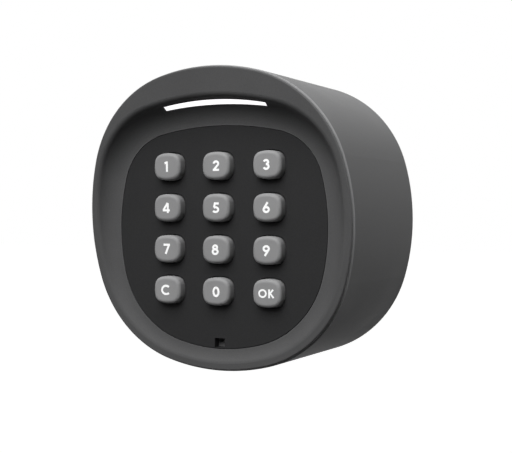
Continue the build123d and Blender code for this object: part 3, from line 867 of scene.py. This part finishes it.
# The strokes of each digit and letter, which are one unit high.
STROKES: dict[str, tuple[Union[Bar, Bow], ...]] = {
    "0": (Bow((0.37, 0.5), (0.27, 0.4)),),
    "1": (Bar((0.32, 0.0), (0.32, 1.0)), Bar((0.36, 0.92), (0.06, 0.84))),
    "2": (
        Bow((0.37, 0.68), (0.24, 0.22), -25, 178),
        Bar((0.60, 0.60), (0.10, 0.06)),
        Bar((0.03, 0.1), (0.70, 0.1)),
    ),
    "3": (Bow((0.35, 0.72), (0.22, 0.18), -95, 165), Bow((0.36, 0.32), (0.25, 0.22), -160, 95)),
    "4": (
        Bar((0.57, 0.0), (0.57, 0.95)),
        Bar((0.55, 0.97), (0.06, 0.27)),
        Bar((0.0, 0.26), (0.79, 0.26)),
    ),
    "5": (
        Bar((0.20, 0.9), (0.67, 0.9)),
        Bar((0.28, 0.98), (0.17, 0.52)),
        Bow((0.33, 0.32), (0.29, 0.22), -150, 128),
    ),
    "6": (RING, Bar((0.13, 0.42), (0.52, 0.99))),
    "7": (Bar((0.03, 0.9), (0.74, 0.9)), Bar((0.66, 0.92), (0.26, 0.02))),
    "8": (RING, Bow((0.37, 0.73), (0.21, 0.17))),
    "9": (Bow((0.37, 0.68), (0.27, 0.22)), Bar((0.61, 0.58), (0.22, 0.01))),
    "C": (Bow((0.5, 0.5), (0.45, 0.4), 46, 314),),
    "O": (Bow((0.52, 0.5), (0.43, 0.4)),),
    "K": (
        Bar((0.1, 0.0), (0.1, 1.0)),
        Bar((0.13, 0.43), (0.60, 0.97)),
        Bar((0.22, 0.56), (0.66, 0.03)),
    ),
}

# How far some legends stand to the right of the middle of their keys.
NUDGES: dict[str, float] = {
    "1": -0.1 * MM,
    "2": 0.25 * MM,
    "4": -0.1 * MM,
    "5": 0.2 * MM,
    "7": 0.1 * MM,
    "0": 0.25 * MM,
    "C": -0.4 * MM,
}


@dataclass
class Legends:
    """The printed legends on the twelve keys."""

    height: float = 2.85 * MM
    pair_height: float = 2.3 * MM
    ink: float = 0.03 * MM
    pen: float = 0.21
    spacing: float = 0.2

    def draw_letter(self, letter: str) -> Piece:
        """Draw one letter or digit and join its strokes.

        Args:
            letter: The letter.

        Returns:
            The letter as one closed shape, one unit high.
        """
        whole, *others = [stroke.draw(self.pen) for stroke in STROKES[letter]]
        for other in others:
            apply_modifier(whole, "BOOLEAN", operation="UNION", object=other, solver="EXACT")
        discard(others)
        return whole

    def draw_word(self, word: str) -> Piece:
        """Draw a word from its letters, side by side.

        Args:
            word: The word.

        Returns:
            One object with all of its letters.
        """
        letters = []
        reach = 0.0
        for letter in word:
            drawn = self.draw_letter(letter)
            drawn.data.transform(Matrix.Translation((reach - box_of(drawn)[0].x, 0, 0)))
            reach = box_of(drawn)[1].x + self.spacing
            letters.append(drawn)
        return join(letters)

    def build(self, paint: Paintshop) -> None:
        """Print a legend on each key.

        Args:
            paint: The shop that dresses the pieces.
        """
        upright = Matrix(((1, 0, 0), (0, 0, -1), (0, 1, 0))).to_4x4()
        for node in sorted(n for n in frame["nodes"] if n.startswith("key_")):
            word = node.removeprefix("key_").upper()
            piece = self.draw_word(word)
            left, right = (corner.x for corner in box_of(piece))
            to_middle = Matrix.Translation((-(left + right) / 2, -0.5, 0))
            height = self.height if len(word) == 1 else self.pair_height
            size = Matrix.Diagonal((height, height, 2 * self.ink, 1))
            low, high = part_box(node)
            across, up = (low.x + high.x) / 2 + NUDGES.get(word, 0.0), (low.z + high.z) / 2
            to_key = Matrix.Translation((across, low.y, up))
            piece.data.transform(to_key @ upright @ size @ to_middle)
            paint.mount(piece, f"legend_{word.lower()}", node, Finish.LEGEND)


# -------------------------------------------------------------------------------------------
# Screws
# -------------------------------------------------------------------------------------------


@dataclass(frozen=True)
class ScrewSize:
    """A plain screw's place and sizes.

    Its top is the middle of its head's top, and its side is 1 where the head faces the wall or -1
    where it faces the front.
    """

    top: Vector
    side: float
    head_radius: float
    head_height: float
    shank_radius: float
    length: float

    @classmethod
    def measured(cls, solid: Piece) -> "ScrewSize":
        """Measure a plain screw.

        Args:
            solid: One screw of a node.

        Returns:
            Its place and sizes.
        """
        low, high = box_of(solid)
        middle = (low + high) / 2
        head_radius = (high.x - low.x) / 2

        def reach(place: Vector) -> float:
            """The distance from the screw's axis."""
            return math.hypot(place.x - middle.x, place.z - middle.z)

        places = [vertex.co for vertex in solid.data.vertices]
        head = [place.y for place in places if reach(place) > 0.9 * head_radius]
        beside = [place for place in places if not min(head) <= place.y <= max(head)]
        side = 1.0 if max(head) > middle.y else -1.0
        top = Vector((middle.x, high.y if side > 0 else low.y, middle.z))
        head_height = max(head) - min(head)
        return cls(top, side, head_radius, head_height, max(map(reach, beside)), high.y - low.y)


@dataclass
class PanScrews:
    """Cross-recessed pan-head screws with real threads, in place of one node's plain ones.

    The shares of the head and its recess are of the head's sizes, those of the tip are of the
    thread's radius, and those of the ridge are of the pitch.
    """

    node: str
    body: str
    pitch: float = 0.5 * MM
    sides: int = 40
    dome: float = 0.45
    recess_length: float = 0.62
    recess_width: float = 0.3
    recess_depth: float = 0.62
    recess_taper: float = 0.55
    thread_steps: int = 20
    thread_depth: float = 0.16
    ridge_half: float = 0.4
    ridge_sink: float = 0.03
    tip_length: float = 0.5
    tip_taper: float = 0.45
    thread_start: float = 0.7
    smooth_angle: float = 35.0
    first_turn: float = 23.0
    next_turn: float = 61.0

    def turn_head(self, radius: float, height: float) -> Piece:
        """Make the domed head with its cross recess, its top at zero and its seat below.

        Args:
            radius: The head's radius.
            height: Its height.

        Returns:
            The head.
        """
        head = rod(radius, 0.0, -height, self.sides)
        with editing(head):
            select_where(head, lambda place: place.z > -TOUCHING)
            bpy.ops.mesh.bevel(offset=self.dome * height, segments=4)
        long, wide = radius * self.recess_length, radius * self.recess_width / 2
        deep = height * self.recess_depth
        for size in (Vector((long, wide, deep)), Vector((wide, long, deep))):
            blade = block(-size, Vector((size.x, size.y, height)))
            with editing(blade):
                select_where(blade, lambda place: place.z < 0)
                narrowed = (self.recess_taper, self.recess_taper, 1)
                bpy.ops.transform.resize(value=narrowed, center_override=(0, 0, -deep))
            apply_modifier(head, "BOOLEAN", operation="DIFFERENCE", object=blade, solver="EXACT")
            discard([blade])
        return head

    def cut_shank(self, radius: float, start: float, end: float) -> Piece:
        """Make the shank with its tapered tip.

        Args:
            radius: The thread's outer radius.
            start: The height of the head's seat.
            end: The height of the tip.

        Returns:
            The shank.
        """
        core = radius * (1 - self.thread_depth)
        shank = rod(core, start, end, self.sides // 2)
        with editing(shank):
            select_where(shank, lambda place: place.z < (start + end) / 2)
            bpy.ops.mesh.extrude_region_move(TRANSFORM_OT_translate={"value": (0, 0, 0)})
            narrowed = (self.tip_taper, self.tip_taper, 1)
            bpy.ops.transform.resize(value=narrowed, center_override=(0, 0, end))
            lowest, rim = end + TOUCHING, 0.9 * core
            select_where(shank, lambda place: place.z < lowest and place.xy.length > rim)
            bpy.ops.transform.translate(value=(0, 0, self.tip_length * radius))
        return shank

    def wind_thread(self, radius: float, start: float, end: float) -> Piece:
        """Make the helical ridge of the thread.

        Args:
            radius: The thread's outer radius.
            start: The height of the head's seat.
            end: The height of the tip.

        Returns:
            The ridge.
        """
        clear_selection()
        bpy.ops.mesh.primitive_circle_add(vertices=3, radius=radius, fill_type="NOTHING")
        ridge = bpy.context.object
        root = radius * (1 - self.thread_depth) * (1 - self.ridge_sink)
        corners = ((root, -self.ridge_half), (radius, 0.0), (root, self.ridge_half))
        for vertex, (out, up) in zip(ridge.data.vertices, corners):
            vertex.co = (out, 0, end + self.thread_start * radius + up * self.pitch)
        apply_modifier(
            ridge,
            "SCREW",
            axis="Z",
            screw_offset=self.pitch,
            iterations=max(1, int((start - end - radius) / self.pitch)),
            steps=self.thread_steps,
            render_steps=self.thread_steps,
            use_merge_vertices=False,
        )
        with editing(ridge, everything=True):
            bpy.ops.mesh.fill_holes(sides=3)
            bpy.ops.mesh.select_all(action="SELECT")
            bpy.ops.mesh.normals_make_consistent(inside=False)
        return ridge

    def build(self, paint: Paintshop) -> None:
        """Make one screw, and set a copy of it in each place.

        Args:
            paint: The shop that dresses the pieces.
        """
        solids = solids_of(self.node)
        sizes = sorted(map(ScrewSize.measured, solids), key=lambda size: tuple(size.top))
        discard(solids)
        first = sizes[0]
        shank = (first.shank_radius, -first.head_height, -first.length)
        head = self.turn_head(first.head_radius, first.head_height)
        screw = join([head, join([self.cut_shank(*shank), self.wind_thread(*shank)])])
        pick(screw)
        bpy.ops.object.shade_smooth_by_angle(angle=math.radians(self.smooth_angle))
        for number, size in enumerate(sizes):
            name = f"{self.node}_{number + 1}"
            copy = new_piece(name, screw.data)
            upright = Matrix(((1, 0, 0), (0, 0, size.side), (0, -size.side, 0))).to_4x4()
            spin = Matrix.Rotation(math.radians(self.first_turn + self.next_turn * number), 4, "Z")
            copy.data.transform(Matrix.Translation(size.top) @ upright @ spin)
            paint.mount(copy, name, self.body, Finish.STEEL)
            if number == 0:
                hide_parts(self.node)
        discard([screw])


SCREWS = (
    PanScrews("bezel_screws", "housing"),
    PanScrews("led_screws", "housing", pitch=0.4 * MM),
    PanScrews("tray_screws", "keypad_module"),
    PanScrews("board_screws", "keypad_module", pitch=0.4 * MM),
)


# -------------------------------------------------------------------------------------------
# Face panel
# -------------------------------------------------------------------------------------------


@dataclass
class ReleaseSlot:
    """The lined slot at the foot of the face panel, where a tool lets the module go."""

    width: float = 3.25 * MM
    height: float = 2.8 * MM
    depth: float = 2.35 * MM
    foot: float = 0.12 * MM
    wall: float = 0.1 * MM
    play: float = 0.01 * MM

    def build(self, paint: Paintshop) -> None:
        """Make the liner as an open box, its floor at the back and toned lighter than its walls as
        painted light.

        Args:
            paint: The shop that dresses the piece.
        """
        low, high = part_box("face_panel")
        middle = (low.x + high.x) / 2
        half = self.width / 2 - self.play
        near = Vector((middle - half, low.y + self.play, low.z + self.foot))
        far = Vector((middle + half, low.y + self.depth, near.z + self.height))
        pocket = block(near, far)
        with editing(pocket):
            bpy.ops.mesh.select_mode(type="FACE")
            bpy.ops.mesh.select_all(action="DESELECT")
            bpy.ops.object.mode_set(mode="OBJECT")
            for face in pocket.data.polygons:
                face.select = face.normal.y < -0.9
            bpy.ops.object.mode_set(mode="EDIT")
            bpy.ops.mesh.inset(thickness=self.wall)
            inward = (0, self.depth - self.wall, 0)
            bpy.ops.mesh.extrude_region_move(TRANSFORM_OT_translate={"value": inward})
        paint.mount(pocket, "release_slot_liner", "keypad_module", Finish.FACE)
        # Painted light: the back floor of the slot gets a lighter tone than the walls, as if lit.
        mouth = near.y + self.wall
        paint.coat_faces(
            pocket, Finish.LINER, lambda face: face.normal.y < -0.9 and face.center.y > mouth
        )


# -------------------------------------------------------------------------------------------
# Set: floor, lights and camera
# -------------------------------------------------------------------------------------------


def heading(azimuth: float, elevation: float) -> Vector:
    """Give a direction out from the front.

    Args:
        azimuth: Its turn from the front to the reader's right, in degrees.
        elevation: Its rise, in degrees.

    Returns:
        The direction, one unit long.
    """
    turn, rise = math.radians(azimuth), math.radians(elevation)
    level = math.cos(rise)
    return Vector((math.sin(turn) * level, -math.cos(turn) * level, math.sin(rise)))


@dataclass(frozen=True)
class Softbox:
    """A square soft light that points at the reader."""

    name: str
    azimuth: float
    elevation: float
    distance: float
    size: float
    power: float

    def build(self, target: Vector) -> None:
        """Hang the light.

        Args:
            target: The point that it lights.
        """
        away = heading(self.azimuth, self.elevation)
        lamp = bpy.data.lights.new(self.name, "AREA")
        lamp.size = self.size
        lamp.energy = self.power
        holder = bpy.data.objects.new(self.name, lamp)
        holder.location = target + away * self.distance
        holder.rotation_euler = away.to_track_quat("Z", "Y").to_euler()
        bpy.context.scene.collection.objects.link(holder)


@dataclass
class Studio:
    """The plain set round the reader."""

    floor_drop: float = 1.1
    floor_size: float = 60.0
    floor_near: float = 1.5
    floor_far: float = 4.0
    floor_tone: float = 0.45
    floor_shown: float = 0.86
    ambient: float = 0.0
    camera_place: Vector = field(default_factory=lambda: Vector((139.36, -298.35, 1.84)) * MM)
    camera_azimuth: float = 26.8
    camera_pitch: float = -0.725
    camera_lens: float = 75.2
    camera_sensor: float = 36.0
    lights: tuple[Softbox, ...] = (
        Softbox("front_light", 0, 48, distance=0.7, size=0.6, power=8.8),
        Softbox("side_light", 105, 50, distance=0.7, size=0.5, power=4.6),
        Softbox("back_light", 180, 48, distance=0.7, size=0.6, power=1.8),
    )

    def build(self) -> None:
        """Set up the floor, the air, the lights and the camera."""
        self.lay_floor()
        self.fill_air()
        low, high = CAD_BOX
        for light in self.lights:
            light.build((low + high) / 2)
        self.place_camera()

    def lay_floor(self) -> None:
        """Lay a grey floor well under the reader, which shows pale close by and white far off."""
        clear_selection()
        below = (0, 0, CAD_BOX[0].z - self.floor_drop)
        bpy.ops.mesh.primitive_plane_add(size=self.floor_size, location=below)
        floor = bpy.context.object
        floor.name = "studio_floor"
        made, graph, shader = new_material("studio_floor")
        shader["Base Color"].default_value = (self.floor_tone, self.floor_tone, self.floor_tone, 1)
        shader["Roughness"].default_value = 0.9
        shader["Specular IOR Level"].default_value = 0.1
        away = graph.node(VECTOR_MATH, {0: graph.place()}, operation="LENGTH")
        far = graph.ramp(away.outputs["Value"], self.floor_near, self.floor_far)
        level = graph.maths("MULTIPLY", graph.in_view(), graph.between(far, self.floor_shown, 1.0))
        graph.feed(graph.mix(level, (0, 0, 0), (1, 1, 1)), shader["Emission Color"])
        shader["Emission Strength"].default_value = 1.0
        floor.data.materials.append(made)

    def fill_air(self) -> None:
        """Light the air evenly, and show it white to the camera and in reflections."""
        world = bpy.data.worlds.new("studio_air")
        bpy.context.scene.world = world
        world.use_nodes = True
        graph = Graph(world.node_tree)
        sky = world.node_tree.nodes["Background"].inputs
        sky["Color"].default_value = (1, 1, 1, 1)
        graph.feed(graph.between(graph.in_view(), self.ambient, 1.0), sky["Strength"])

    def place_camera(self) -> None:
        """Stand the camera to the right of the reader, level with it."""
        lens = bpy.data.cameras.new("camera")
        lens.lens = self.camera_lens
        lens.sensor_width = self.camera_sensor
        lens.clip_start = 10 * MM
        camera = bpy.data.objects.new("camera", lens)
        ahead = -heading(self.camera_azimuth, -self.camera_pitch)
        camera.location = self.camera_place
        camera.rotation_euler = ahead.to_track_quat("-Z", "Y").to_euler()
        bpy.context.scene.collection.objects.link(camera)
        bpy.context.scene.camera = camera


# -------------------------------------------------------------------------------------------
# Assembly
# -------------------------------------------------------------------------------------------

NODE_FINISHES: dict[Finish, tuple[str, ...]] = {
    Finish.HOUSING: ("housing",),
    Finish.BEZEL: ("front_bezel",),
    Finish.FACE: ("face_panel",),
    Finish.GASKET: ("bezel_gasket", "wall_gasket", "module_seal"),
    Finish.LIGHT: ("light_bar",),
    Finish.LAMP: ("lamps",),
    Finish.BOARD: ("led_board", "circuit_board"),
    Finish.SILICONE: ("keymat",),
    Finish.CONTACT: ("snap_domes", "battery_contacts", "battery_springs"),
    Finish.COPPER: ("antenna_coil",),
    Finish.SHIELD: ("radio_module",),
    Finish.CHIP: ("processor", "battery_socket", "buzzer"),
    Finish.STEEL: ("bezel_screws", "led_screws", "board_screws", "tray_screws"),
    Finish.MODULE: ("module_frame", "battery_tray"),
    Finish.ADHESIVE: ("panel_adhesive",),
    Finish.CELL_LEFT: ("battery_left",),
    Finish.CELL_RIGHT: ("battery_right",),
}


def finish_of(node: str) -> Finish:
    """Choose the finish of one of the solid model's own nodes.

    Args:
        node: The node.

    Returns:
        Its finish, or the keys' where it is listed under none.
    """
    return next((finish for finish, nodes in NODE_FINISHES.items() if node in nodes), Finish.KEY)


def main() -> None:
    """Dress the solid model, add the scene's own pieces and set up the studio."""
    logging.basicConfig(level=logging.INFO, format="%(name)s: %(message)s")
    bpy.context.scene.view_settings.view_transform = "Standard"
    paint = Paintshop()
    paint.open()
    for node, piece in sorted(frame["nodes"].items()):
        paint.coat(piece, finish_of(node))
    for group in (Legends(), *SCREWS, ReleaseSlot()):
        group.build(paint)
    Studio().build()


if __name__ == "__main__":
    main()
